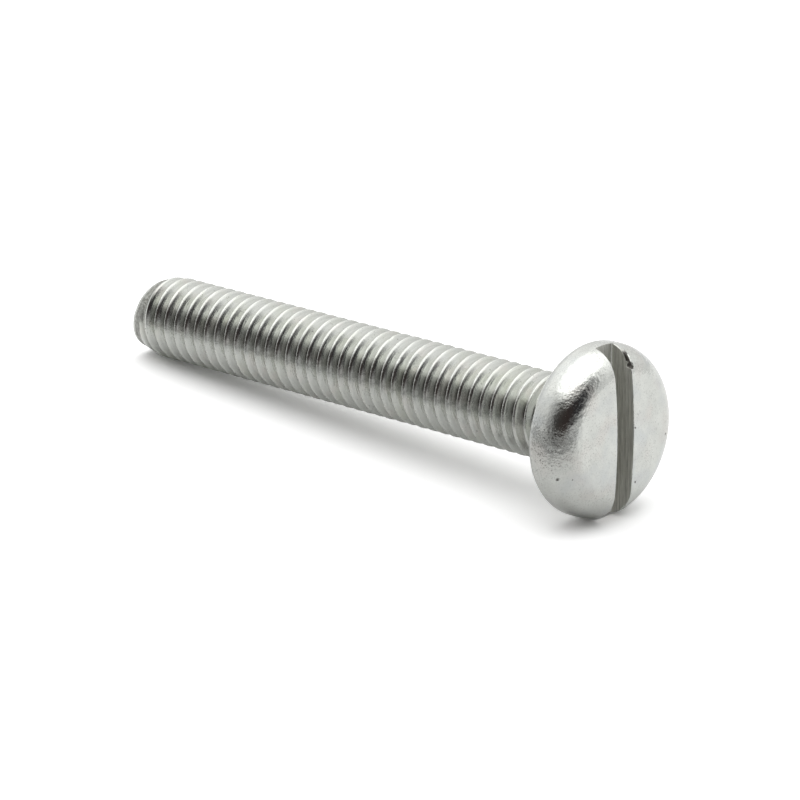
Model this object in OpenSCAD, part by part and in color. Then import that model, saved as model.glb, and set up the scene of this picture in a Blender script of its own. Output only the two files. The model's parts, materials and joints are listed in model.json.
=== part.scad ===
// Slotted pan head machine screw, threaded along its whole length and lying at rest on a flat surface.
// Lengths are in millimetres. The screw is drawn along Z with its bearing face at zero and its head
// upwards, and is then laid down so that the head and the first thread crest touch the surface.

/* [Head] */
// Widest diameter of the head
head_d = 11.7; // [10:0.1:14]
// Height from the bearing face to the top of the crown
head_h = 3.5; // [3:0.1:4.5]
// Radius of the shallow crown
crown_r = 40; // [25:1:80]
// Radius of the shoulder that turns from the side to the crown
shoulder_r = 2.1; // [1.2:0.1:2.3]
// Radius of the round at the foot of the head
foot_r = 0.8; // [0.7:0.05:1]
// Height of the centre of that round above the bearing face
foot_rise = 0.7; // [0.4:0.05:0.7]

/* [Slot] */
// Width of the driver slot
slot_w = 1.6; // [1:0.1:2.4]
// Depth of the slot below the top of the crown
slot_depth = 1.95; // [1.2:0.05:2.4]
// Turn of the slot about the screw, from upright as the screw lies
slot_turn = -3.5; // [-90:0.5:90]

/* [Thread] */
// Diameter over the thread crests
thread_d = 5.85; // [5:0.05:6.5]
// Advance of the right-hand thread in one turn
pitch = 1; // [0.8:0.05:1.25]
// Length from the bearing face to the middle of the end face
length = 40.6; // [16:0.2:45]
// Plain neck between the bearing face and the end of the thread
neck_len = 0.5; // [0.5:0.05:2]
// Gap between the thread crests and the edge of the fillet under the head
fillet_gap = 0.12; // [0.05:0.01:0.14]

/* [Tip] */
// Diameter of the cropped end face
tip_d = 4.8; // [4:0.05:5.4]
// Slant of the end face, which reaches furthest on the side that the screw lies on
tip_slant = 11.5; // [0:0.5:15]
// Length of the cone that widens from the middle of the end face to the crests
tip_len = 1.95; // [0.8:0.05:3]
// Distance from the middle of the end face to the start of the thread
tip_plain = 0.7; // [0.4:0.01:1.2]

/* [Hidden] */

// Facets in one turn of the thread, and sides of the round solids on the screen
steps = 30;
$fn = 96;
// Amount by which a cutting or joining solid runs past the one that it meets
past = 1;

// Thread form: the depth and the crest flat of a rolled metric thread, as shares of the pitch
depth = 0.6134 * pitch;
crest_flat = pitch / 8;
flank = depth * tan(30);
crest_r = thread_d / 2;
root_r = crest_r - depth;
// The neck has the diameter of the blank, which is the diameter halfway up the thread flanks
neck_r = crest_r - 0.3248 * pitch;
// The rolled part is this much thinner than the neck where the two meet
neck_ledge = 0.03;
// Axial places of the four edges of one thread turn: root, crest, crest, root
edges = [0, flank, flank + crest_flat, 2 * flank + crest_flat];
per_turn = len(edges);

// Turns over which the groove is still shallow at the tip, deepens at the tip, and runs out at the neck
shallow_turns = 0.1;
deepen_turns = 1.5;
runout_turns = 1;
thread_z = tip_plain - length;
turns = floor((length - tip_plain - neck_len - pitch) / pitch);

head_r = head_d / 2;
// Height of the centre of the shoulder round. There the round just touches the crown from inside,
// and standing proud by a trace it crosses the crown in one clean line.
shoulder_proud = 0.003;
shoulder_z = head_h - crown_r + sqrt(pow(crown_r - shoulder_r, 2) - pow(head_r - shoulder_r, 2))
    + shoulder_proud;
// Radius at which shoulder and crown meet
meet_r = crown_r * (head_r - shoulder_r) / (crown_r - shoulder_r);
fillet_r = crest_r - neck_r + fillet_gap;

// Lying angle: the foot round of the head and the wide end of the tip cone touch the same level
rise_at_head = head_r - foot_r - crest_r;
rest_span = foot_rise + length - tip_len;
tilt = atan2(rise_at_head, rest_span) + asin(foot_r / norm([rise_at_head, rest_span]));
lift = foot_r + (head_r - foot_r) * cos(tilt) - foot_rise * sin(tilt);
// Reach of the lying screw beyond its bearing face at the crown and at the tip
crown_reach = crown_r - (crown_r - head_h) * cos(tilt);
tip_reach = length * cos(tilt) + tip_d / 2 * abs(tan(tip_slant) * cos(tilt) - sin(tilt));

// A value that eases from 0 to 1 as t goes from 0 to 1
function ease(t) = let (u = min(1, max(0, t))) u * u * (3 - 2 * u);
function mix(a, b, t) = a + (b - a) * t;

// Height of the rim of the end face at angle a, and radius of the tip cone at height z above it
function rim_z(a) = -length - tip_d / 2 * tan(tip_slant) * cos(a);
function cone_r(z, a) =
    min(crest_r, mix(tip_d / 2, crest_r, (z - rim_z(a)) / (tip_len - length - rim_z(a))));

// Surface of the thread at edge m of the column at step j, counted along the helix from the tip.
// The columns stand half a step off the lowest line, so that a flat facet of each crest faces the
// surface that the screw lies on and keeps it from rolling.
function share(j) = (j + 0.5) / steps;
function edge_z(m) = floor(m / per_turn) * pitch + edges[m % per_turn];
function on_crest(m) = m % per_turn == 1 || m % per_turn == 2;
function thread_r(z, a, turn, crest) =
    let (
        runout = ease((turns - turn) / runout_turns),
        full = mix(neck_r - neck_ledge, crest ? crest_r : root_r, runout),
        outer = cone_r(z, a)
    )
    crest ? min(full, outer)
          : mix(outer, min(full, outer), ease((turn - shallow_turns) / deepen_turns));
function thread_point(j, m) =
    let (
        rise = edge_z(m) + pitch * share(j),
        z = thread_z + rise,
        a = 360 * share(j),
        r = thread_r(z, a, rise / pitch, on_crest(m))
    )
    [r * cos(a), r * sin(a), z];
function ring(r, heights) =
    [for (j = [0:steps - 1]) let (a = 360 * j / steps) [r * cos(a), r * sin(a), heights[j]]];

// The points stand in columns along the screw. The first column is one turn longer than the others,
// because the last column joins it one turn further on.
last = per_turn * turns;
function column(j, m) = j == 0 ? steps + m : steps + last + per_turn + 1 + (j - 1) * (last + 1) + m;
function beside(j, m) = j < steps - 1 ? column(j + 1, m) : column(0, m + per_turn);
function end_ring(j) = column(steps - 1, last) + 1 + j % steps;
function tip_ring(j) = j % steps;

module thread() {
    points = concat(
        ring(tip_d / 2, [for (j = [0:steps - 1]) rim_z(360 * j / steps)]),
        [for (m = [0:last + per_turn]) thread_point(0, m)],
        [for (j = [1:steps - 1]) for (m = [0:last]) thread_point(j, m)],
        ring(neck_r - neck_ledge, [for (j = [0:steps - 1]) past])
    );
    sides = [
        for (j = [0:steps - 1]) for (m = [0:last - 1])
            each [
                [column(j, m), column(j, m + 1), beside(j, m)],
                [beside(j, m), column(j, m + 1), beside(j, m + 1)]
            ]
    ];
    tip_side = [
        for (j = [0:steps - 1])
            each [
                [tip_ring(j), column(j, 0), tip_ring(j + 1)],
                [tip_ring(j + 1), column(j, 0), beside(j, 0)]
            ]
    ];
    tip_seam = [for (m = [0:per_turn - 1]) [tip_ring(0), column(0, m + 1), column(0, m)]];
    neck_side = [
        for (j = [0:steps - 1])
            each [
                [j == 0 ? column(0, last + per_turn) : column(j, last), end_ring(j), end_ring(j + 1)],
                [column(j, last), end_ring(j + 1), beside(j, last)]
            ]
    ];
    neck_seam = [for (m = [last:last + per_turn - 1]) [end_ring(1), column(0, m), column(0, m + 1)]];
    ends = [[for (j = [0:steps - 1]) tip_ring(j)], [for (j = [steps - 1:-1:0]) end_ring(j)]];
    color("silver") polyhedron(points, concat(sides, tip_side, tip_seam, neck_side, neck_seam, ends));
}

// Half section of the head, its fillet and its neck, with the axis at zero
module head_section() {
    intersection() {
        translate([0, head_h - crown_r]) circle(crown_r);
        union() {
            square([meet_r, head_h]);
            translate([0, foot_rise]) square([head_r, shoulder_z - foot_rise]);
            square([head_r - foot_r, foot_rise]);
            corner(shoulder_r, shoulder_z, [0, shoulder_z]);
            corner(foot_r, foot_rise, [0, 0]);
        }
    }
    translate([0, -neck_len]) square([neck_r, neck_len + foot_rise]);
    difference() {
        translate([0, -fillet_r]) square([neck_r + fillet_r, fillet_r + foot_rise]);
        translate([neck_r + fillet_r, -fillet_r]) circle(fillet_r);
    }
}

// Round of radius r that touches the side of the head at height z, kept above the level of from
module corner(r, z, from) {
    intersection() {
        translate([head_r - r, z]) circle(r);
        translate(from) square([head_r, r]);
    }
}

module head() {
    color("gainsboro") rotate_extrude() head_section();
}

// The sawn slot, which runs out through both sides of the head
module slot() {
    color("dimgray")
        rotate([0, 0, slot_turn])
            translate([-head_d / 2 - past, -slot_w / 2, head_h - slot_depth])
                cube([head_d + 2 * past, slot_w, slot_depth + past]);
}

module screw() {
    translate([(tip_reach - crown_reach) / 2, 0, lift])
        rotate([0, 90 - tilt, 0])
            difference() {
                union() {
                    head();
                    thread();
                }
                slot();
            }
}

screw();
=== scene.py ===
"""Slotted pan head machine screw, lying at rest on a pale surface in soft studio light."""

import json
import math

import bpy
import numpy as np
from mathutils import Matrix, Vector, noise

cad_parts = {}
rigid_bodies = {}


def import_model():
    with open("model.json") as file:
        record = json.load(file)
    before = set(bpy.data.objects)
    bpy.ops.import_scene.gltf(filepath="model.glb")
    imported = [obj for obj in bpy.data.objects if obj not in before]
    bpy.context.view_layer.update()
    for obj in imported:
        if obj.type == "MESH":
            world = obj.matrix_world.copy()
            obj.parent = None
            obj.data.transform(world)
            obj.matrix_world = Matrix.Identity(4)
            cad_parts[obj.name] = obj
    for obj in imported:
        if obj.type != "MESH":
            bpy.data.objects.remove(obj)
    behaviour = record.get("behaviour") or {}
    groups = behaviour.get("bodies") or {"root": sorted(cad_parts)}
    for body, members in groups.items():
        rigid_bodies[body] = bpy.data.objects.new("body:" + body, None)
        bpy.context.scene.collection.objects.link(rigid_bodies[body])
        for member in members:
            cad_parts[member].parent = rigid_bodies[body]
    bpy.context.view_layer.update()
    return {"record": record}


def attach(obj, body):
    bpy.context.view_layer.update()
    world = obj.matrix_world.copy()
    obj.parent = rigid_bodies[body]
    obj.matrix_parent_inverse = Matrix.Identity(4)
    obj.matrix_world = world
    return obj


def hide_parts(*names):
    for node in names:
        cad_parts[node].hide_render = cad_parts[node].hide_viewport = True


bl_info = {
    "name": "Pan Head Machine Screw",
    "version": (1, 0, 0),
    "blender": (4, 5, 0),
    "location": "View3D > Sidebar > Screw",
    "description": "Models a slotted pan head machine screw with a rolled metric thread",
    "category": "Add Mesh",
}

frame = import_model()

MM = 0.001
MOUNTS = {mount["name"]: mount for mount in frame["record"]["mounts"]}
# The screw's axis, towards the head, and the middle of its threaded part, in the frame's metres
AXIS = -Vector(MOUNTS["thread"]["axis"])
THREAD_MIDDLE = Vector(MOUNTS["thread"]["pos_m"])
THREAD_LENGTH = MOUNTS["thread"]["dims"]["length_mm"] * MM
CREST_RADIUS = MOUNTS["thread"]["dims"]["r_mm"] * MM

# Brightness of the light tent overhead, and the second coat of white that the camera sees on the board
TENT_STRENGTH = 1.75
BACKDROP_LIFT = 0.45
# Places of the material slots on the screw's mesh
ROLLED, HEADED, SAWN, CROPPED = range(4)


def linear(hex_colour):
    """An sRGB hex colour as the linear RGBA that shaders take."""
    parts = [int(hex_colour[i:i + 2], 16) / 255 for i in (0, 2, 4)]
    return (*[c / 12.92 if c <= 0.04045 else ((c + 0.055) / 1.055) ** 2.4 for c in parts], 1.0)


def length_property(name, description, default):
    return bpy.props.FloatProperty(
        name=name, description=description, default=default, unit="LENGTH", precision=5)


def angle_property(name, description, degrees):
    return bpy.props.FloatProperty(
        name=name, description=description, default=math.radians(degrees), unit="ROTATION")


def colour_property(name, description, hex_colour):
    return bpy.props.FloatVectorProperty(
        name=name, description=description, default=linear(hex_colour), subtype="COLOR", size=4,
        min=0, max=1)


class ScrewSizes(bpy.types.PropertyGroup):
    """Sizes of the screw."""

    head_diameter: length_property(
        "Head diameter", "Widest diameter of the head", 0.0117)
    head_height: length_property(
        "Head height", "From the bearing face to the top of the crown", 0.0035)
    crown_radius: length_property(
        "Crown radius", "Radius of the shallow crown", 0.04)
    shoulder_radius: length_property(
        "Shoulder radius", "Radius between the side and the crown", 0.0021)
    foot_radius: length_property(
        "Foot radius", "Radius of the round at the foot of the head", 0.0008)
    foot_rise: length_property(
        "Foot rise", "Height of the foot round's centre above the bearing face", 0.0007)
    slot_width: length_property(
        "Slot width", "Width of the driver slot", 0.0016)
    slot_depth: length_property(
        "Slot depth", "Depth of the slot below the top of the crown", 0.00195)
    slot_turn: angle_property(
        "Slot turn", "Turn of the slot about the screw, from upright", -3.5)
    pitch: length_property(
        "Pitch", "Advance of the thread in one turn", 0.001)
    neck_length: length_property(
        "Neck length", "Plain neck between the bearing face and the thread", 0.0005)
    fillet_gap: length_property(
        "Fillet gap", "From the crests to the edge of the fillet under the head", 0.00012)
    tip_diameter: length_property(
        "Tip diameter", "Diameter of the cropped end face", 0.0048)
    tip_slant: angle_property(
        "Tip slant", "Slant of the cropped end face, longest on the underside", 11.5)
    tip_cone: length_property(
        "Tip cone", "Length of the cone from the middle of the end face to the crests", 0.00195)
    tip_plain: length_property(
        "Tip plain", "From the middle of the end face to the start of the thread", 0.0007)


class ScrewColours(bpy.types.PropertyGroup):
    """Colours of the screw and of the stage, as linear values."""

    plate: colour_property("Plate", "Clean bright zinc plate", "DCDED9")
    plate_dull: colour_property("Dull plate", "Clouded zinc plate", "D2D4CF")
    plate_worn: colour_property("Worn plate", "Zinc plate rubbed dull on the thread", "C6C8C3")
    plate_warm: colour_property("Warm tint", "Faint warm tint of the plate", "D6CFCA")
    plate_cool: colour_property("Cool tint", "Faint bluish tint of the plate", "CACFD2")
    plate_olive: colour_property("Olive tint", "Faint greenish tint of the plate on the thread", "C9CCC0")
    # This dark colour is also the painted shade in the torn corner of the slot
    grime: colour_property("Grime", "Dark specks and pits", "4C4844")
    # This colour is painted shade in the thread roots, and the dull film of the cropped end
    root_shade_and_dull_film: colour_property("Thin grime", "Dull film in the thread roots", "84847D")
    sawn: colour_property("Sawn steel", "Raised scores in the slot", "EEEEE8")
    sawn_dark: colour_property("Sawn steel, dark", "Deep scores in the slot", "B0B0AA")
    floor: colour_property("Floor", "White board under the screw", "F4F4F4")
    # Painted shade on the board as the metal mirrors it, darker towards the tent's opening
    floor_shade: colour_property("Floor in reflections", "White board as the metal mirrors it", "F2F2F2")
    floor_front_shade: colour_property("Floor front", "The same towards the tent's opening", "BCBCBC")
    floor_edge_shade: colour_property("Floor at its edge", "The same far in front of the screw", "848484")


def sizes():
    return bpy.context.scene.screw_sizes


def colours():
    return bpy.context.scene.screw_colours


# Modelling tools. Pieces are shaped in millimetres along Z with the bearing face at zero, then laid down.

def clear_selection():
    for ob in bpy.context.view_layer.objects:
        ob.select_set(False)


def activate(ob):
    clear_selection()
    ob.select_set(True)
    bpy.context.view_layer.objects.active = ob


def select_where(ob, kind, test):
    """Selects the vertices or faces of ob for which test is true, and leaves edit mode open."""
    bpy.ops.object.mode_set(mode="EDIT")
    bpy.ops.mesh.select_mode(type="VERT" if kind == "vertices" else "FACE")
    bpy.ops.mesh.select_all(action="DESELECT")
    bpy.ops.object.mode_set(mode="OBJECT")
    for part in getattr(ob.data, "vertices" if kind == "vertices" else "polygons"):
        part.select = bool(test(part))
    bpy.ops.object.mode_set(mode="EDIT")


def chain(name, points):
    """A new object whose mesh is one open chain of edges through points, given as (radius, height)."""
    clear_selection()
    bpy.ops.mesh.primitive_plane_add(size=1, enter_editmode=True)
    bpy.ops.mesh.select_mode(type="VERT")
    bpy.ops.mesh.merge(type="CENTER")
    start = (points[0][0], 0, points[0][1])
    bpy.ops.transform.translate(value=start)
    for (r0, z0), (r1, z1) in zip(points, points[1:]):
        bpy.ops.mesh.extrude_region_move(TRANSFORM_OT_translate={"value": (r1 - r0, 0, z1 - z0)})
    bpy.ops.mesh.select_all(action="SELECT")
    bpy.ops.object.mode_set(mode="OBJECT")
    ob = bpy.context.active_object
    ob.name = ob.data.name = name
    return ob


def arc(centre, radius, start, end, count):
    """Points on a circle in the half section, angles in degrees from the radial direction."""
    angles = [math.radians(start + (end - start) * i / count) for i in range(count + 1)]
    return [(centre[0] + radius * math.cos(a), centre[1] + radius * math.sin(a)) for a in angles]


def apply_modifier(ob, kind, **settings):
    activate(ob)
    modifier = ob.modifiers.new(kind.title(), kind)
    for key, value in settings.items():
        setattr(modifier, key, value)
    bpy.ops.object.modifier_apply(modifier=modifier.name)


def ease(t):
    t = np.clip(t, 0, 1)
    return t * t * (3 - 2 * t)


# Steps in one turn of the head's section and of the thread's
ROUND_STEPS = 192
THREAD_STEPS = 96
# Distance below which two places are the same, in millimetres like every length of the screw here
TOUCH = 1e-4
# Name of the UV map that runs along the thread
THREAD_MAP = "along_thread"
# Share of its full depth that the thread's groove has on the tip's cone, the turns in which it stays
# so, and the turns in which it deepens from there
TIP_GROOVE = 0.12
SHALLOW_TURNS = 0.1
DEEPEN_TURNS = 1.5
# Heights above the end face of the lip beside it and of the upper edge of the cropped surface
LIP_HEIGHT = 0.42
CROPPED_HEIGHT = 1.05
# Nicks in the thread: angle about the screw in degrees, height, size and depth
NICKS = ((190, -16.9, 0.22, 0.08), (196, -16.3, 0.2, 0.07), (202, -15.75, 0.2, 0.08),
         (221, -14.75, 0.18, 0.09))
# Pits in the head: place on the screw's own axes and size
HEAD_PITS = ((1.59, -5.34, 2.26, 0.17), (-0.36, 0.98, 3.49, 0.12), (3.44, 0.9, 3.34, 0.11),
             (0.34, -5.84, 1.3, 0.09), (1.06, 4.2, 3.23, 0.1), (1.71, -4.66, 2.93, 0.07))
# How far the rims of the pits stray
PIT_STRAY = 0.25
# Middle of the scuffed side of the head, in the slot's own directions
SCUFFED_SIDE = (0.0, -5.8, 1.0)
# Lines cut beside the slot to take its wear, as places across it: next to its edges, and along the burr
EDGE_LINE = 0.83
BURR_LINE = 1.08
SLOT_LINES = (-EDGE_LINE, EDGE_LINE, BURR_LINE, 1.2)
# Torn stretches of the slot's edges: side, start, deepest place, end, depth and how proud the burr stands
SLOT_TEARS = ((1, -5.5, -4.55, -4.35, 0.32, 0.06), (1, 4.7, 5.2, 5.6, 0.07, 0.03),
              (1, 2.4, 2.6, 3.0, 0.03, 0), (1, -0.9, -0.7, -0.4, 0.03, 0))
# A tear deeper than the first shows raw steel as far from the middle of the slot as the second
RAW_DEPTH = 0.1
RAW_REACH = 1.02
# Painted shade in the torn corner under the burr, in the slot's own directions: place and reach
SHADED_CORNERS = (((-4.75, 0.95, 3.05), 0.75), ((-5.1, 0.95, 2.8), 0.55))


class Form:
    """The screw's sizes in millimetres, with the radii and heights that follow from them."""

    def __init__(self):
        s = sizes()
        self.head_r = s.head_diameter / MM / 2
        self.head_h = s.head_height / MM
        self.crown_r = s.crown_radius / MM
        self.shoulder_r = s.shoulder_radius / MM
        self.foot_r = s.foot_radius / MM
        self.foot_rise = s.foot_rise / MM
        self.slot_w = s.slot_width / MM
        self.slot_depth = s.slot_depth / MM
        self.slot_turn = s.slot_turn
        self.pitch = s.pitch / MM
        self.neck = s.neck_length / MM
        self.tip_r = s.tip_diameter / MM / 2
        self.tip_cone = s.tip_cone / MM
        self.tip_fall = math.tan(s.tip_slant)
        self.tip_plain = s.tip_plain / MM
        self.crest_r = CREST_RADIUS / MM
        self.length = THREAD_LENGTH / MM + self.neck
        # A rolled metric thread is 0.6134 of its pitch deep, its flanks lean by 30 degrees, its crest is
        # an eighth of the pitch wide, and its blank is as thick as the thread halfway up
        self.depth = 0.6134 * self.pitch
        self.flank = self.depth * math.tan(math.radians(30))
        self.crest_flat = self.pitch / 8
        self.root_flat = self.pitch - self.crest_flat - 2 * self.flank
        self.root_r = self.crest_r - self.depth
        self.neck_r = self.crest_r - 0.3248 * self.pitch
        self.fillet_r = self.crest_r - self.neck_r + s.fillet_gap / MM
        inside = self.crown_r - self.shoulder_r
        side = self.head_r - self.shoulder_r
        self.shoulder_z = self.head_h - self.crown_r + math.sqrt(inside ** 2 - side ** 2)
        self.meet_angle = math.degrees(math.acos(side / inside))
        self.thread_z = self.tip_plain - self.length
        self.turns = math.floor((self.length - self.tip_plain - self.neck - self.pitch) / self.pitch)
        # Height of the middle of the first root on the side that the screw lies on
        self.first_root = self.thread_z - self.root_flat / 2


def head_section(form):
    """Half section of the head from the foot of its fillet up to the middle of the crown."""
    crown_centre = (0, form.head_h - form.crown_r)
    foot_start = -math.degrees(math.asin(form.foot_rise / form.foot_r))
    fillet = arc((form.neck_r + form.fillet_r, -form.fillet_r), form.fillet_r, 180, 90, 8)
    foot = arc((form.head_r - form.foot_r, form.foot_rise), form.foot_r, foot_start, 0, 10)
    inner, outer = fillet[-1][0], foot[0][0]
    bearing = [(inner + (outer - inner) * i / 8, 0) for i in range(1, 8)]
    shoulder = arc((form.head_r - form.shoulder_r, form.shoulder_z), form.shoulder_r,
                   0, form.meet_angle, 26)
    crown = arc(crown_centre, form.crown_r, form.meet_angle, 90, 18)[1:]
    crown[-1] = (0, form.head_h)
    return fillet + bearing + foot + shoulder + crown


def make_head(form):
    """The upset head on its neck, spun from its half section and open at the neck's end."""
    ob = chain("head", head_section(form))
    bpy.ops.object.mode_set(mode="EDIT")
    bpy.ops.mesh.spin(steps=ROUND_STEPS, angle=2 * math.pi, center=(0, 0, 0), axis=(0, 0, 1))
    bpy.ops.mesh.select_all(action="SELECT")
    bpy.ops.mesh.remove_doubles(threshold=TOUCH)
    bpy.ops.object.mode_set(mode="OBJECT")
    return ob


def thread_section(form):
    """One pitch of the thread's half section, from root middle to root middle, with soft corners."""
    half = form.root_flat / 2
    corners = [(form.root_r, 0), (form.root_r, half), (form.crest_r, half + form.flank),
               (form.crest_r, form.pitch - half - form.flank), (form.root_r, form.pitch - half),
               (form.root_r, form.pitch)]
    # How far each round reaches before and after its corner, and its count of points. The roots are
    # hollow nearly up to the crests.
    rounds = ((0.95 * half, 0.52, 5), (0.18, 0.06, 3), (0.06, 0.18, 3), (0.52, 0.95 * half, 5))
    points = [corners[0]]
    for i, (before, after, count) in enumerate(rounds, start=1):
        here = Vector(corners[i])
        start = here + (Vector(corners[i - 1]) - here).normalized() * before
        end = here + (Vector(corners[i + 1]) - here).normalized() * after
        for t in (k / (count - 1) for k in range(count)):
            points.append(tuple((1 - t) ** 2 * start + 2 * t * (1 - t) * here + t * t * end))
    points.append(corners[5])
    return points


def make_shank(form):
    """The rolled shank: a helical thread that starts shallow at the tip and runs out at the neck."""
    ob = chain("shank", thread_section(form))
    # Turns beyond either end, which are cut off again
    extra = 3
    apply_modifier(ob, "SCREW", axis="Z", angle=2 * math.pi, screw_offset=form.pitch,
                   iterations=form.turns + 2 * extra + 1, steps=THREAD_STEPS, render_steps=THREAD_STEPS,
                   use_smooth_shade=True)
    bpy.ops.object.mode_set(mode="EDIT")
    bpy.ops.mesh.select_all(action="SELECT")
    bpy.ops.mesh.remove_doubles(threshold=TOUCH)
    bpy.ops.object.mode_set(mode="OBJECT")
    shape_thread(ob, form, form.first_root - extra * form.pitch)
    for z, fall, side in ((-form.length, form.tip_fall, "clear_inner"), (-form.neck, 0, "clear_outer")):
        bpy.ops.object.mode_set(mode="EDIT")
        bpy.ops.mesh.select_all(action="SELECT")
        bpy.ops.mesh.bisect(plane_co=(0, 0, z), plane_no=(fall, 0, 1), use_fill=side == "clear_inner",
                            **{side: True})
        bpy.ops.object.mode_set(mode="OBJECT")
    round_tip(ob, form)
    return ob


def above_end(form, points):
    """Heights of points, an array of x, y, z, above the slanted plane of the end face."""
    return points[:, 2] + form.length + form.tip_fall * points[:, 0]


def round_tip(ob, form):
    """Rounds the rim of the cropped end, raises the lip beside it, and rings the end face."""
    reach = 0.2
    bpy.ops.object.mode_set(mode="EDIT")
    for height in (0.015, 0.05, 0.1, reach, LIP_HEIGHT - 0.05, LIP_HEIGHT, LIP_HEIGHT + 0.06):
        bpy.ops.mesh.select_all(action="SELECT")
        bpy.ops.mesh.bisect(plane_co=(0, 0, height - form.length), plane_no=(form.tip_fall, 0, 1))
    bpy.ops.object.mode_set(mode="OBJECT")
    points = vertex_array(ob)
    above = above_end(form, points)
    rounded = reach * (1 - np.sqrt(1 - np.clip(1 - above / reach, 0, 1) ** 2))
    lip = np.where(np.abs(above - LIP_HEIGHT) < 0.01, 0.02, 0)
    r = np.hypot(points[:, 0], points[:, 1])
    points[:, :2] *= (1 + (lip - rounded) / r)[:, None]
    ob.data.vertices.foreach_set("co", points.ravel())
    # No other face has nearly as many corners as the end face
    select_where(ob, "faces", lambda f: len(f.vertices) > 40)
    for share in (0.85, 0.75, 0.65, 0.5):
        bpy.ops.mesh.extrude_region_move()
        bpy.ops.transform.resize(value=(share, share, share), center_override=(0, 0, -form.length))
    bpy.ops.mesh.poke()
    bpy.ops.object.mode_set(mode="OBJECT")


def vertex_array(ob):
    values = np.empty(len(ob.data.vertices) * 3)
    ob.data.vertices.foreach_get("co", values)
    return values.reshape(-1, 3)


def bumps(points, size, seed):
    """Noise from about -1 to 1 at each point, with features of about the given size in millimetres."""
    shift = Vector((seed * 7.3, seed * 3.1, seed * 5.7))
    return np.array([noise.noise(Vector(point) / size + shift) for point in points])


def shape_thread(ob, form, start_z):
    """Moves the endless thread along the shank, eases its groove out at both ends and wears it."""
    points = vertex_array(ob)
    points[:, 2] += start_z
    r = np.hypot(points[:, 0], points[:, 1])
    z = points[:, 2]
    turn = (z - form.thread_z) / form.pitch
    full = form.neck_r + (r - form.neck_r) * ease(form.turns - turn)
    rim = -form.length - form.tip_r * form.tip_fall * points[:, 0] / r
    up_cone = (z - rim) / (form.tip_cone - form.length - rim)
    cone = np.minimum(form.crest_r, form.tip_r + (form.crest_r - form.tip_r) * up_cone)
    cut = np.minimum(full, cone)
    # The rolls have pressed a faint first turn into the cone before the groove reaches its depth
    deepening = TIP_GROOVE + (1 - TIP_GROOVE) * ease((turn - SHALLOW_TURNS) / DEEPEN_TURNS)
    crest = r > form.crest_r - 0.02
    new = np.where(crest, cut, cone + (cut - cone) * deepening)
    # Rolling leaves the surface a little uneven, and handling has flattened and nicked the crests
    new += 0.005 * bumps(points, 0.5, 1) + 0.002 * bumps(points, 0.25, 2)
    new -= np.where(crest, 0.03 * np.clip(bumps(points, 0.4, 3) - 0.1, 0, 1), 0)
    for angle, height, size, deep in NICKS:
        nick = np.array((math.cos(math.radians(angle)) * form.crest_r,
                         math.sin(math.radians(angle)) * form.crest_r, height))
        new -= deep * np.clip(1 - np.linalg.norm(points - nick, axis=1) / size, 0, 1)
    points[:, 0] *= new / r
    points[:, 1] *= new / r
    ob.data.vertices.foreach_set("co", points.ravel())
    ob.data.update()


def unroll_thread(ob, form):
    """Lays a UV map along the thread in millimetres. U follows the turns, and V is 0 on their crest."""
    mesh = ob.data
    points = vertex_array(ob)
    corner = np.empty(len(mesh.loops), dtype=np.int64)
    mesh.loops.foreach_get("vertex_index", corner)
    counts = np.empty(len(mesh.polygons), dtype=np.int64)
    mesh.polygons.foreach_get("loop_total", counts)
    centres = np.empty(len(mesh.polygons) * 3)
    mesh.polygons.foreach_get("center", centres)
    centres = np.repeat(centres.reshape(-1, 3), counts, axis=0)
    # Angles are taken near the middle of each face, so that no face spans the turn from 180 to -180
    middle = np.arctan2(centres[:, 1], centres[:, 0])
    places = points[corner]
    swing = (np.arctan2(places[:, 1], places[:, 0]) - middle + math.pi) % (2 * math.pi) - math.pi
    angle = middle + swing
    number = np.floor((centres[:, 2] - form.first_root) / form.pitch - middle / (2 * math.pi))
    across = (places[:, 2] - form.first_root) / form.pitch - angle / (2 * math.pi) - number - 0.5
    along = (number + angle / (2 * math.pi)) * 2 * math.pi * form.crest_r
    while mesh.uv_layers:
        mesh.uv_layers.remove(mesh.uv_layers[0])
    mesh.uv_layers.new(name=THREAD_MAP)
    flat = np.column_stack((along, across * form.pitch))
    mesh.uv_layers[THREAD_MAP].data.foreach_set("uv", flat.ravel())


def slot_frame(form, points):
    """Places along and across the slot, for points given as an array of x, y, z."""
    c, s = math.cos(form.slot_turn), math.sin(form.slot_turn)
    return points[:, 0] * c + points[:, 1] * s, points[:, 1] * c - points[:, 0] * s


def cut_slot(head, form):
    """Saws the driver slot across the head with a block as wide as the saw, then wears its edges."""
    cap_neck(head, form)
    across = (-math.sin(form.slot_turn), math.cos(form.slot_turn), 0)
    bpy.ops.object.mode_set(mode="EDIT")
    for line in SLOT_LINES:
        bpy.ops.mesh.select_all(action="SELECT")
        bpy.ops.mesh.bisect(plane_co=tuple(line * part for part in across), plane_no=across)
    bpy.ops.object.mode_set(mode="OBJECT")
    clear_selection()
    # Amount by which the saw runs past the head
    past = 1.0
    height = form.slot_depth + past
    bpy.ops.mesh.primitive_cube_add(size=1, location=(0, 0, form.head_h - form.slot_depth + height / 2),
                                    rotation=(0, 0, form.slot_turn))
    saw = bpy.context.active_object
    saw.scale = (form.head_r * 2 + 2 * past, form.slot_w, height)
    bpy.ops.object.transform_apply(location=True, rotation=True, scale=True)
    # The teeth's corners are a little rounded
    select_where(saw, "faces", lambda f: f.normal.z < -0.9)
    bpy.ops.mesh.bevel(offset=0.09, segments=3, affect="EDGES")
    bpy.ops.object.mode_set(mode="OBJECT")
    apply_modifier(head, "BOOLEAN", operation="DIFFERENCE", object=saw, solver="EXACT")
    bpy.data.objects.remove(saw)
    select_where(head, "faces", lambda f: f.center.z < -form.fillet_r + TOUCH and abs(f.normal.z) > 0.9)
    bpy.ops.mesh.delete(type="FACE")
    bpy.ops.object.mode_set(mode="OBJECT")
    wear_slot(head, form)


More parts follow.
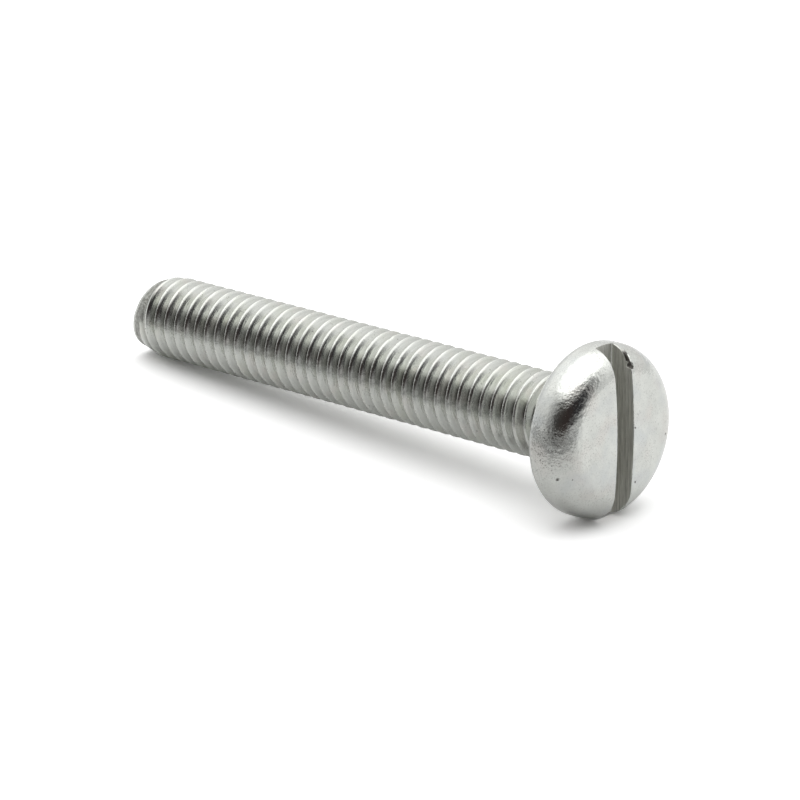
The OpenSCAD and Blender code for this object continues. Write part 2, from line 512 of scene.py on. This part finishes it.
def peak(x, start, top, end):
    """A value that climbs from 0 at start to 1 at top and drops to 0 at end."""
    return np.clip(np.minimum((x - start) / (top - start), (end - x) / (end - top)), 0, 1)


def wear_slot(head, form):
    """Breaks the slot's sharp edges, and tears and lifts them where the saw ran in and out."""
    points = vertex_array(head)
    along, across = slot_frame(form, points)
    side = np.abs(across)
    r = np.hypot(points[:, 0], points[:, 1])
    # Outward direction of the head's own surface in its half section
    out = np.clip(r - (form.head_r - form.shoulder_r), 0, None)
    up = np.where(out > 0, np.clip(points[:, 2] - form.shoulder_z, 0, None), 1)
    size = np.hypot(out, up)
    out, up = out / size, up / size
    # The slot's floor and its rounded corners aren't worn
    surface = points[:, 2] > form.head_h - form.slot_depth + 0.12
    edge = surface & (np.abs(side - form.slot_w / 2) < TOUCH)
    broken = 0.02 + 0.03 * np.abs(bumps(points, 0.2, 4))
    lift = np.zeros(len(points))
    widen = np.zeros(len(points))
    for far, start, top, end, deep, proud in SLOT_TEARS:
        here = np.where(across * far > 0, 1, 0) * surface
        torn = peak(along, start, top, end) * here
        broken += deep * torn
        widen += np.where(np.abs(side - EDGE_LINE) < TOUCH, far * 0.6 * deep * torn, 0)
        lift += np.where(np.abs(side - BURR_LINE) < TOUCH, proud * np.sqrt(torn), 0)
    move = np.where(edge, -broken, lift)
    for axis, share in enumerate((out * points[:, 0] / r, out * points[:, 1] / r, up)):
        points[:, axis] += move * share
    points[:, 0] -= widen * math.sin(form.slot_turn)
    points[:, 1] += widen * math.cos(form.slot_turn)
    head.data.vertices.foreach_set("co", points.ravel())
    head.data.update()


def cap_neck(head, form):
    select_where(head, "vertices", lambda v: v.co.z < -form.fillet_r + TOUCH)
    bpy.ops.mesh.edge_face_add()
    bpy.ops.mesh.select_all(action="SELECT")
    bpy.ops.mesh.normals_make_consistent(inside=False)
    bpy.ops.object.mode_set(mode="OBJECT")


def join_at_neck(head, shank, form):
    """Joins head and shank into one mesh and bridges their open edges at the neck."""
    activate(head)
    shank.select_set(True)
    bpy.ops.object.join()
    select_where(head, "vertices", lambda v: False)
    bpy.ops.mesh.select_non_manifold(extend=False, use_wire=False, use_multi_face=False,
                                     use_non_contiguous=False, use_verts=False)
    bpy.ops.mesh.bridge_edge_loops()
    bpy.ops.mesh.select_all(action="SELECT")
    bpy.ops.mesh.normals_make_consistent(inside=False)
    bpy.ops.object.mode_set(mode="OBJECT")
    return head


def paint_faces(ob, form):
    """Gives each face the material slot of how its surface was made."""
    across = Vector((-math.sin(form.slot_turn), math.cos(form.slot_turn), 0))
    along = Vector((math.cos(form.slot_turn), math.sin(form.slot_turn), 0))
    for face in ob.data.polygons:
        c = face.center
        side = c.dot(across)
        in_slot = c.z > form.head_h - form.slot_depth - 0.01 and abs(side) < form.slot_w / 2 + 0.005
        torn = any(0 < side * far < RAW_REACH and start < c.dot(along) < end and c.z > form.foot_rise
                   for far, start, top, end, deep, proud in SLOT_TEARS if deep > RAW_DEPTH)
        if in_slot or torn:
            face.material_index = SAWN
        elif c.z > -form.neck:
            face.material_index = HEADED
        elif c.z + form.length + form.tip_fall * c.x < CROPPED_HEIGHT:
            face.material_index = CROPPED
        else:
            face.material_index = ROLLED


def bearing_place(form):
    """Middle of the bearing face where the screw lies, in metres."""
    return THREAD_MIDDLE + AXIS * (form.length + form.neck) / 2 * MM


def lay_down(ob, form):
    """Turns the finished mesh from its own axis to where the screw lies, in metres."""
    tilt = math.asin(AXIS.z)
    turn = Matrix.Rotation(math.pi / 2 - tilt, 4, "Y")
    ob.matrix_world = Matrix.Translation(bearing_place(form)) @ turn @ Matrix.Scale(MM, 4)
    activate(ob)
    bpy.ops.object.transform_apply(location=True, rotation=True, scale=True)


# Materials

# Sockets of a colour mix node by number, because its other kinds of mix use the same names
FACTOR, UNDER, OVER, MIXED = 0, 6, 7, 2


def shade(value):
    """A grey value or a colour as the RGBA that colour sockets and colour ramps take."""
    return (value, value, value, 1.0) if isinstance(value, (int, float)) else value


def add_node(tree, kind, inputs=None, stops=(), **settings):
    """Adds a node with its settings. Each input, by name or number, takes a value or the socket it is
    linked to. The stops are those of a colour ramp, as positions with grey values or colours."""
    node = tree.nodes.new(kind)
    for key, value in settings.items():
        setattr(node, key, value)
    for key, value in (inputs or {}).items():
        socket = node.inputs[key]
        if isinstance(value, bpy.types.NodeSocket):
            tree.links.new(value, socket)
        else:
            socket.default_value = shade(value) if socket.type == "RGBA" else value
    if stops:
        elements = node.color_ramp.elements
        while len(elements) < len(stops):
            elements.new(0.5)
        for element, (position, value) in zip(elements, stops):
            element.position = position
            element.color = shade(value)
    return node


def new_material(name):
    material = bpy.data.materials.new(name)
    material.use_nodes = True
    material.node_tree.nodes.clear()
    return material, material.node_tree


def lay(tree, base, *layers):
    """Lays values or colours over a base in turn. Each layer is given as its mask and its value."""
    for mask, value in layers:
        base = add_node(tree, "ShaderNodeMix", {FACTOR: mask, UNDER: base, OVER: value},
                        data_type="RGBA").outputs[MIXED]
    return base


def screw_place(tree, form):
    """Place on the screw in millimetres: X along the slot, Z towards the head from the bearing face."""
    lying = Matrix.Rotation(math.pi / 2 - math.asin(AXIS.z), 3, "Y")
    upright = Matrix.Rotation(-form.slot_turn, 3, "Z") @ lying.inverted()
    where = add_node(tree, "ShaderNodeTexCoord")
    return add_node(tree, "ShaderNodeMapping", {
        "Vector": where.outputs["Object"], "Scale": (1 / MM,) * 3, "Rotation": upright.to_euler(),
        "Location": -(upright @ bearing_place(form)) / MM}).outputs["Vector"]


def pattern(tree, place, scale, stops, detail=2.0, stretch=None, roughness=0.5):
    """Noise with so many features to a millimetre, passed through a ramp of the given stops."""
    if stretch:
        place = add_node(tree, "ShaderNodeMapping", {"Vector": place, "Scale": stretch}).outputs["Vector"]
    cloud = add_node(tree, "ShaderNodeTexNoise", {
        "Vector": place, "Scale": scale, "Detail": detail, "Roughness": roughness})
    return add_node(tree, "ShaderNodeValToRGB", {"Fac": cloud.outputs["Fac"]}, stops).outputs["Color"]


def spot(tree, place, middle, inner, reach, strength=1.0, fade="LINEAR"):
    """Mask of a round spot that keeps its strength as far out as inner and is gone at its reach."""
    far = add_node(tree, "ShaderNodeVectorMath", {0: place, 1: middle}, operation="DISTANCE")
    return add_node(tree, "ShaderNodeMapRange", {
        "Value": far.outputs["Value"], "From Min": inner, "From Max": reach, "To Min": strength,
        "To Max": 0.0}, interpolation_type=fade).outputs["Result"]


def relief(tree, *layers):
    """Stacks bump layers, each given as a height socket and its depth in millimetres."""
    below = {}
    for height, depth in layers:
        bump = add_node(tree, "ShaderNodeBump", {"Distance": depth * MM, "Height": height, **below})
        below = {"Normal": bump.outputs["Normal"]}
    return below["Normal"]


def finish_metal(tree, material, colour, roughness, normal):
    shader = add_node(tree, "ShaderNodeBsdfPrincipled", {
        "Metallic": 1.0, "Base Color": colour, "Roughness": roughness, "Normal": normal})
    add_node(tree, "ShaderNodeOutputMaterial", {"Surface": shader.outputs["BSDF"]})
    return material


def headed_zinc(form):
    """Bright zinc plate on a cold-headed steel blank. The die leaves a smooth, faintly pebbled skin that
    mirrors softly, and handling has left pits, small dark specks and a slight clouding."""
    material, tree = new_material("bright_zinc_on_headed_steel")
    place = screw_place(tree, form)
    tint = colours()
    # Clouding about 1 mm across, with tints that change every 2 mm
    cloud = pattern(tree, place, 0.9, [(0.38, tint.plate_dull), (0.62, tint.plate)], detail=6,
                    roughness=0.7)
    warm = pattern(tree, place, 0.55, [(0.5, 0.0), (0.68, 0.35)])
    cool = pattern(tree, place, 0.45, [(0.32, 0.4), (0.5, 0.0)])
    # Grime sits in specks about 0.1 mm wide, closer together where the skin is rough
    rough = pattern(tree, place, 0.5, [(0.45, 0.0), (0.65, 0.45)], detail=3)
    rough = add_node(tree, "ShaderNodeMath", {
        0: rough, 1: spot(tree, place, SCUFFED_SIDE, 1.2, 2.6)}, operation="MAXIMUM").outputs["Value"]
    specks = pattern(tree, place, 10, [(0.54, 0.0), (0.67, 1.0)], detail=3, roughness=0.65)
    specks = add_node(tree, "ShaderNodeMath", {
        0: specks, 1: lay(tree, 0.17, (rough, 0.8))}, operation="MULTIPLY").outputs["Value"]
    # Noise of 0.2 mm moves the place that the pits are measured from, which makes their rims ragged
    stray = add_node(tree, "ShaderNodeTexNoise", {"Vector": place, "Scale": 5.0, "Detail": 3.0})
    strayed = add_node(tree, "ShaderNodeVectorMath", {
        0: stray.outputs["Color"], 1: (PIT_STRAY,) * 3, 2: place}, operation="MULTIPLY_ADD")
    pits = 0.0
    for x, y, z, size in HEAD_PITS:
        middle = Matrix.Rotation(-form.slot_turn, 3, "Z") @ Vector((x, y, z))
        pit = spot(tree, strayed.outputs["Vector"], middle + Vector((PIT_STRAY / 2,) * 3),
                   size * 0.2, size, strength=0.85, fade="SMOOTHSTEP")
        pits = add_node(tree, "ShaderNodeMath", {0: pits, 1: pit}, operation="MAXIMUM").outputs["Value"]
    colour = lay(tree, cloud, (warm, tint.plate_warm), (cool, tint.plate_cool), (specks, tint.grime),
                 (pits, tint.grime))
    roughness = pattern(tree, place, 1.1, [(0.35, 0.06), (0.65, 0.14)], detail=4)
    # Waves about 0.5 mm and pebbling about 0.28 mm across, deepest where the skin is rough
    waves = pattern(tree, place, 1.8, [(0.25, 0.0), (0.75, 1.0)])
    pebbles = pattern(tree, place, 3.6, [(0.25, 0.0), (0.75, 1.0)], detail=4, roughness=0.6)
    pebbles = add_node(tree, "ShaderNodeMath", {
        0: pebbles, 1: lay(tree, 0.3, (rough, 1.0))}, operation="MULTIPLY").outputs["Value"]
    sink = add_node(tree, "ShaderNodeMath", {0: 1.0, 1: pits}, operation="SUBTRACT").outputs["Value"]
    normal = relief(tree, (waves, 0.008), (pebbles, 0.022), (sink, 0.05))
    return finish_metal(tree, material, colour, roughness, normal)


def rolled_zinc(form):
    """Bright zinc plate on a rolled thread. The dies burnish the flanks along the thread, so streaks and
    faint scores run round the screw, and the worn crests glint unevenly."""
    material, tree = new_material("bright_zinc_on_rolled_steel")
    place = screw_place(tree, form)
    tint = colours()
    along = add_node(tree, "ShaderNodeUVMap", uv_map=THREAD_MAP).outputs["UV"]
    # Streaks about 2.5 mm long and 0.08 mm wide, with tints that change every 1.5 mm
    streaks = pattern(tree, along, 1.0, [(0.3, tint.plate_worn), (0.7, tint.plate_dull)], detail=4,
                      stretch=(0.4, 12, 1))
    green = pattern(tree, place, 0.6, [(0.5, 0.0), (0.68, 0.45)], detail=3)
    pink = pattern(tree, place, 0.7, [(0.33, 0.3), (0.47, 0.0)], detail=3)
    specks = pattern(tree, place, 7, [(0.64, 0.0), (0.74, 0.7)], detail=3, roughness=0.6)
    # Masks by the distance from the middle of the crest, which is V on the thread's map
    across = add_node(tree, "ShaderNodeSeparateXYZ", {"Vector": along}).outputs["Y"]
    off_crest = add_node(tree, "ShaderNodeMath", {0: across}, operation="ABSOLUTE").outputs["Value"]
    crest, bright, root = (
        add_node(tree, "ShaderNodeValToRGB", {"Fac": off_crest}, stops).outputs["Color"]
        for stops in ([(0.04, 1.0), (0.08, 0.0)], [(0.02, 0.35), (0.05, 0.0)],
                      [(0.25, 0.0), (0.45, 0.5)]))
    # The roots are painted darker as painted shade, and the crests brighter, partly as burnished metal
    # and partly as a painted highlight
    colour = lay(tree, streaks, (green, tint.plate_olive), (pink, tint.plate_warm),
                 (root, tint.root_shade_and_dull_film), (bright, tint.plate), (specks, tint.grime))
    glints = pattern(tree, place, 5, [(0.4, 0.12), (0.6, 0.4)], detail=3)
    smooth = pattern(tree, along, 1.0, [(0.35, 0.12), (0.65, 0.22)], detail=3, stretch=(0.6, 9, 1))
    # Scores about 2 mm long and 0.07 mm wide, and a grain of 0.14 mm
    scores = pattern(tree, along, 1.0, [(0.3, 0.0), (0.7, 1.0)], detail=4, stretch=(0.5, 14, 1))
    grain = pattern(tree, place, 7, [(0.25, 0.0), (0.75, 1.0)], detail=3)
    normal = relief(tree, (scores, 0.004), (grain, 0.003))
    return finish_metal(tree, material, colour, lay(tree, smooth, (crest, glints)), normal)


def sawn_steel(form):
    """Slot sawn after heading and thinly plated. The saw's teeth leave fine scores along the slot that
    scatter light, so it looks matt and darker than the burnished head."""
    material, tree = new_material("thin_zinc_on_sawn_steel")
    place = screw_place(tree, form)
    tint = colours()
    # Scores about 1.7 mm long and 0.08 mm wide
    scores = pattern(tree, place, 1.0, [(0.3, 0.0), (0.7, 1.0)], detail=5, stretch=(0.6, 12, 12),
                     roughness=0.7)
    parts = add_node(tree, "ShaderNodeSeparateXYZ", {"Vector": place})
    side = add_node(tree, "ShaderNodeMath", {0: parts.outputs["Y"]},
                    operation="ABSOLUTE").outputs["Value"]
    wall, floor = form.slot_w / 2, form.head_h - form.slot_depth
    near_side, near_floor, outside = (
        add_node(tree, "ShaderNodeMapRange", {
            "Value": value, "From Min": start, "From Max": end}).outputs["Result"]
        for value, start, end in ((side, wall - 0.17, wall - 0.13),
                                  (parts.outputs["Z"], floor + 0.09, floor + 0.05),
                                  (side, wall + 0.002, wall + 0.02)))
    # A bright line is painted along both sides of the slot's floor as a highlight of its rounded corners,
    # which are also smoother there
    corner_highlight = add_node(tree, "ShaderNodeMath", {0: near_side, 1: near_floor},
                      operation="MULTIPLY").outputs["Value"]
    colour = lay(tree, tint.sawn_dark, (scores, tint.sawn), (corner_highlight, tint.plate))
    # Painted shade darkens the torn corner under the burr where the saw ran out
    for corner, reach in SHADED_CORNERS:
        dirt_and_shade = spot(tree, place, corner, 0.6 * reach, reach, strength=0.9)
        dirt_and_shade = add_node(tree, "ShaderNodeMath", {0: dirt_and_shade, 1: outside}, operation="MULTIPLY")
        colour = lay(tree, colour, (dirt_and_shade.outputs["Value"], tint.grime))
    roughness = pattern(tree, place, 1.0, [(0.3, 0.38), (0.7, 0.56)], detail=3, stretch=(0.5, 6, 6))
    roughness = lay(tree, roughness, (corner_highlight, 0.15))
    normal = relief(tree, (lay(tree, scores, (corner_highlight, 0.5)), 0.02))
    return finish_metal(tree, material, colour, roughness, normal)


def cropped_steel(form):
    """End of the blank, sheared off before the thread was rolled and plated over. Half is smeared smooth
    by the blade and half is torn, and both look coarser and duller than the thread."""
    material, tree = new_material("zinc_on_sheared_steel")
    place = screw_place(tree, form)
    tint = colours()
    # Torn grain of 0.2 mm, drag marks about 2 mm long and 0.14 mm wide, and dirt in specks of 0.1 mm
    torn = pattern(tree, place, 5, [(0.35, 0.0), (0.75, 1.0)], detail=5, roughness=0.65)
    drag = pattern(tree, place, 1.0, [(0.3, 0.0), (0.7, 1.0)], detail=3, stretch=(0.5, 7, 1))
    dirt_and_shade = pattern(tree, place, 9, [(0.45, 0.0), (0.66, 0.35)], detail=4)
    # The blank's own skin, smeared bright by the rolling dies, forms the lip beside the end face
    above = add_node(tree, "ShaderNodeVectorMath", {
        0: place, 1: (form.tip_fall, 0, 1)}, operation="DOT_PRODUCT").outputs["Value"]
    under_lip, off_face = (
        add_node(tree, "ShaderNodeMapRange", {
            "Value": above, "From Min": start - form.length, "From Max": end - form.length,
            "To Max": strength}).outputs["Result"]
        for start, end, strength in ((LIP_HEIGHT + 0.08, LIP_HEIGHT - 0.04, 0.8), (0.01, 0.06, 1.0)))
    lip = add_node(tree, "ShaderNodeMath", {0: under_lip, 1: off_face},
                   operation="MULTIPLY").outputs["Value"]
    colour = lay(tree, tint.root_shade_and_dull_film, (torn, tint.plate_worn), (dirt_and_shade, tint.grime), (lip, tint.plate))
    roughness = pattern(tree, place, 2, [(0.3, 0.25), (0.7, 0.45)], detail=3)
    roughness = lay(tree, roughness, (lip, 0.22))
    normal = relief(tree, (drag, 0.02), (torn, 0.035))
    return finish_metal(tree, material, colour, roughness, normal)


class SCREW_OT_fastener(bpy.types.Operator):
    """Models the screw as one closed mesh and dresses it in its materials"""

    bl_idname = "screw.fastener"
    bl_label = "Machine screw"

    def execute(self, context):
        form = Form()
        head = make_head(form)
        cut_slot(head, form)
        shank = make_shank(form)
        screw = join_at_neck(head, shank, form)
        screw.name = screw.data.name = "machine_screw"
        unroll_thread(screw, form)
        paint_faces(screw, form)
        lay_down(screw, form)
        for material in (rolled_zinc, headed_zinc, sawn_steel, cropped_steel):
            screw.data.materials.append(material(form))
        activate(screw)
        bpy.ops.object.shade_smooth_by_angle(angle=math.radians(40))
        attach(screw, "root")
        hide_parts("screw")
        return {"FINISHED"}


class SCREW_OT_stage(bpy.types.Operator):
    """Adds the white board, the light tent round it and the camera"""

    bl_idname = "screw.stage"
    bl_label = "Studio stage"

    def execute(self, context):
        clear_selection()
        bpy.ops.mesh.primitive_plane_add(size=3, location=(0, 0, 0))
        floor = context.active_object
        floor.name = floor.data.name = "studio_floor"
        floor.data.materials.append(white_board())
        make_world()
        make_camera()
        return {"FINISHED"}


# Direction towards the tent's opening in which painted shade dims the mirrored board. Its 1 lies 0.1 m
# from the screw.
DIMMING = (2.5, -9.7, 0)


def white_board():
    """Matt white board. Seen directly it is lit to plain white, as an overexposed backdrop is, and its
    shadow stays. In the metal it shows with painted shade, darker towards the tent's opening."""
    material, tree = new_material("matt_white_board")
    tint = colours()
    where = add_node(tree, "ShaderNodeTexCoord")
    front = add_node(tree, "ShaderNodeVectorMath", {0: where.outputs["Object"], 1: DIMMING},
                     operation="DOT_PRODUCT")
    dimmer = add_node(tree, "ShaderNodeValToRGB", {"Fac": front.outputs["Value"]}, [
        (0.0, tint.floor_shade), (0.28, tint.floor_front_shade), (0.42, tint.floor_edge_shade)])
    white, lift, mirrored = (add_node(tree, "ShaderNodeBsdfDiffuse", {"Color": coat})
                             for coat in (tint.floor, BACKDROP_LIFT, dimmer.outputs["Color"]))
    seen = add_node(tree, "ShaderNodeAddShader", {0: white.outputs["BSDF"], 1: lift.outputs["BSDF"]})
    ray = add_node(tree, "ShaderNodeLightPath")
    surface = white
    for kind, shader in (("Is Glossy Ray", mirrored), ("Is Transmission Ray", mirrored),
                         ("Is Camera Ray", seen)):
        surface = add_node(tree, "ShaderNodeMixShader", {
            0: ray.outputs[kind], 1: surface.outputs[0], 2: shader.outputs[0]})
    add_node(tree, "ShaderNodeOutputMaterial", {"Surface": surface.outputs[0]})
    return material


# The light tent over the azimuth in degrees: how far its dark opening shows, where the opening has a
# pale sill, on its right, and how dark it is, which is a little warmer and paler in its middle
TENT_AROUND = {
    "opening": ((-150, 0.05), (-125, 0.35), (-100, 0.72), (-80, 1.0), (2, 1.0), (17, 0.7), (34, 0.0)),
    "has_sill": ((-45, 0.0), (-15, 1.0)),
    "depths": ((-105, 0.06), (-75, (0.03, 0.028, 0.027, 1)), (-40, (0.022, 0.016, 0.015, 1)),
               (-5, (0.018, 0.018, 0.02, 1)))}
# The same over the height in degrees: how far the opening and its sill let the dark show, and how bright
# the cloth is
TENT_UP = {
    "upright": ((0, 0.5), (8, 0.95), (12, 1.0), (36, 1.0), (47, 0.75), (60, 0.0)),
    "sill": ((0, 0.2), (8, 0.68), (18, 1.0)),
    "cloth": ((0, 0.45), (15, 0.5), (30, 0.6), (45, 0.7), (58, 1.0))}


def make_world():
    """A white light tent, brightest overhead, with a wide dark opening on the camera's side."""
    world = bpy.data.worlds.new("light_tent")
    bpy.context.scene.world = world
    world.use_nodes = True
    tree = world.node_tree
    tree.nodes.clear()
    way = add_node(tree, "ShaderNodeTexCoord")
    parts = add_node(tree, "ShaderNodeSeparateXYZ", {"Vector": way.outputs["Generated"]})
    azimuth = add_node(tree, "ShaderNodeMath", {0: parts.outputs["Y"], 1: parts.outputs["X"]},
                       operation="ARCTAN2")
    height = add_node(tree, "ShaderNodeMath", {0: parts.outputs["Z"]}, operation="ARCSINE")
    tent = {}
    for angle, low, high, table in ((azimuth, -180, 180, TENT_AROUND), (height, 0, 90, TENT_UP)):
        share = add_node(tree, "ShaderNodeMapRange", {
            "Value": angle.outputs["Value"], "From Min": math.radians(low),
            "From Max": math.radians(high)})
        for name, stops in table.items():
            stops = [((degrees - low) / (high - low), value) for degrees, value in stops]
            tent[name] = add_node(tree, "ShaderNodeValToRGB", {"Fac": share.outputs["Result"]},
                                  stops).outputs["Color"]
    opening = tent["opening"]
    for part in (tent["upright"], lay(tree, 1.0, (tent["has_sill"], tent["sill"]))):
        opening = add_node(tree, "ShaderNodeMath", {0: opening, 1: part},
                           operation="MULTIPLY").outputs["Value"]
    light = lay(tree, tent["cloth"], (opening, tent["depths"]))
    background = add_node(tree, "ShaderNodeBackground", {"Strength": TENT_STRENGTH, "Color": light})
    add_node(tree, "ShaderNodeOutputWorld", {"Surface": background.outputs["Background"]})


# The camera: its place, its own right and up directions, and its lens in millimetres
CAMERA_PLACE = Vector((199.7224, -208.5573, 121.2209)) * MM
CAMERA_RIGHT = Vector((0.724503, 0.689261, 0.003863))
CAMERA_UP = Vector((-0.265054, 0.273424, 0.924654))
CAMERA_LENS = 206.54


def make_camera():
    clear_selection()
    bpy.ops.object.camera_add(location=CAMERA_PLACE)
    camera = bpy.context.active_object
    back = CAMERA_RIGHT.cross(CAMERA_UP)
    camera.rotation_euler = Matrix((CAMERA_RIGHT, CAMERA_UP, back)).transposed().to_euler()
    camera.data.lens = CAMERA_LENS
    camera.data.sensor_width = 36
    camera.data.clip_start = 0.01
    camera.data.clip_end = 20
    bpy.context.scene.camera = camera
    bpy.context.scene.view_settings.view_transform = "Standard"


class SCREW_PT_panel(bpy.types.Panel):
    """Lists the sizes, the colours and the operators"""

    bl_idname = "SCREW_PT_panel"
    bl_label = "Machine screw"
    bl_space_type = "VIEW_3D"
    bl_region_type = "UI"
    bl_category = "Screw"

    def draw(self, context):
        layout = self.layout
        for group in (context.scene.screw_sizes, context.scene.screw_colours):
            box = layout.box()
            for key in group.bl_rna.properties.keys():
                if key not in ("rna_type", "name"):
                    box.prop(group, key)
        for operator in STEPS:
            layout.operator(operator.bl_idname)


STEPS = (SCREW_OT_fastener, SCREW_OT_stage)
CLASSES = (ScrewSizes, ScrewColours, *STEPS, SCREW_PT_panel)


def register():
    for cls in CLASSES:
        bpy.utils.register_class(cls)
    bpy.types.Scene.screw_sizes = bpy.props.PointerProperty(type=ScrewSizes)
    bpy.types.Scene.screw_colours = bpy.props.PointerProperty(type=ScrewColours)


def unregister():
    del bpy.types.Scene.screw_sizes
    del bpy.types.Scene.screw_colours
    for cls in reversed(CLASSES):
        bpy.utils.unregister_class(cls)


def main():
    register()
    bpy.ops.screw.fastener()
    bpy.ops.screw.stage()


if __name__ == "__main__":
    main()
